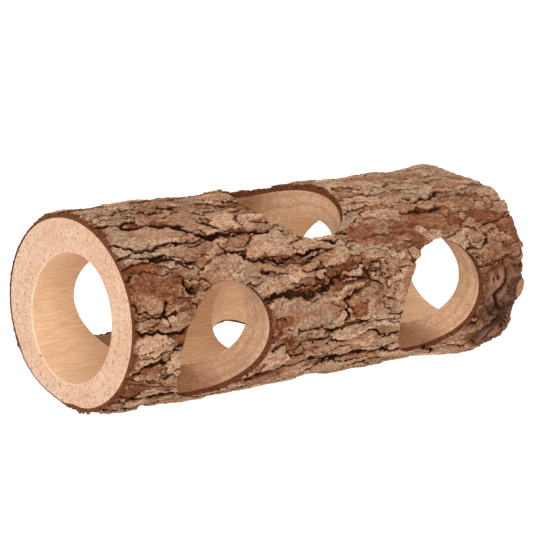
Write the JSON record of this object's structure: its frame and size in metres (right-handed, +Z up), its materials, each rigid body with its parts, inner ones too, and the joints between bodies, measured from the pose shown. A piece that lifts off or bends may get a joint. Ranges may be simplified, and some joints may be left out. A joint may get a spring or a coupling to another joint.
{
  "type": "hamster tunnel",
  "caption": "Natural log with its bark on, bored through from end to end, with round windows in its sides, for a hamster to run through and hide in.",
  "frame": {"origin": "on the surface that the log lies on, under the middle of its box", "axes": "+X along the bore from the near, leaning saw cut to the far end with the branch stub, +Y to the back, +Z up through the top window"},
  "size_m": [0.2042, 0.0797, 0.0667],
  "materials": {
    "wood": "sawn, unfinished",
    "inner_bark": "rough, matte",
    "outer_bark": "flaky, matte",
    "branch_bark": "wrinkled, matte",
    "branch_wood": "sawn, unfinished"
  },
  "bodies": {
    "root": {"wood_tube": "wood", "inner_bark": "inner_bark", "bark_plates_back": "outer_bark", "bark_plates_back_upper": "outer_bark", "bark_plates_top": "outer_bark", "bark_plates_front_upper": "outer_bark", "bark_plates_front": "outer_bark", "bark_plates_front_lower": "outer_bark", "bark_plates_underside": "outer_bark", "bark_plates_back_lower": "outer_bark", "branch_collar": "branch_bark", "branch_stub": "branch_wood"}
  },
  "joints": []
}
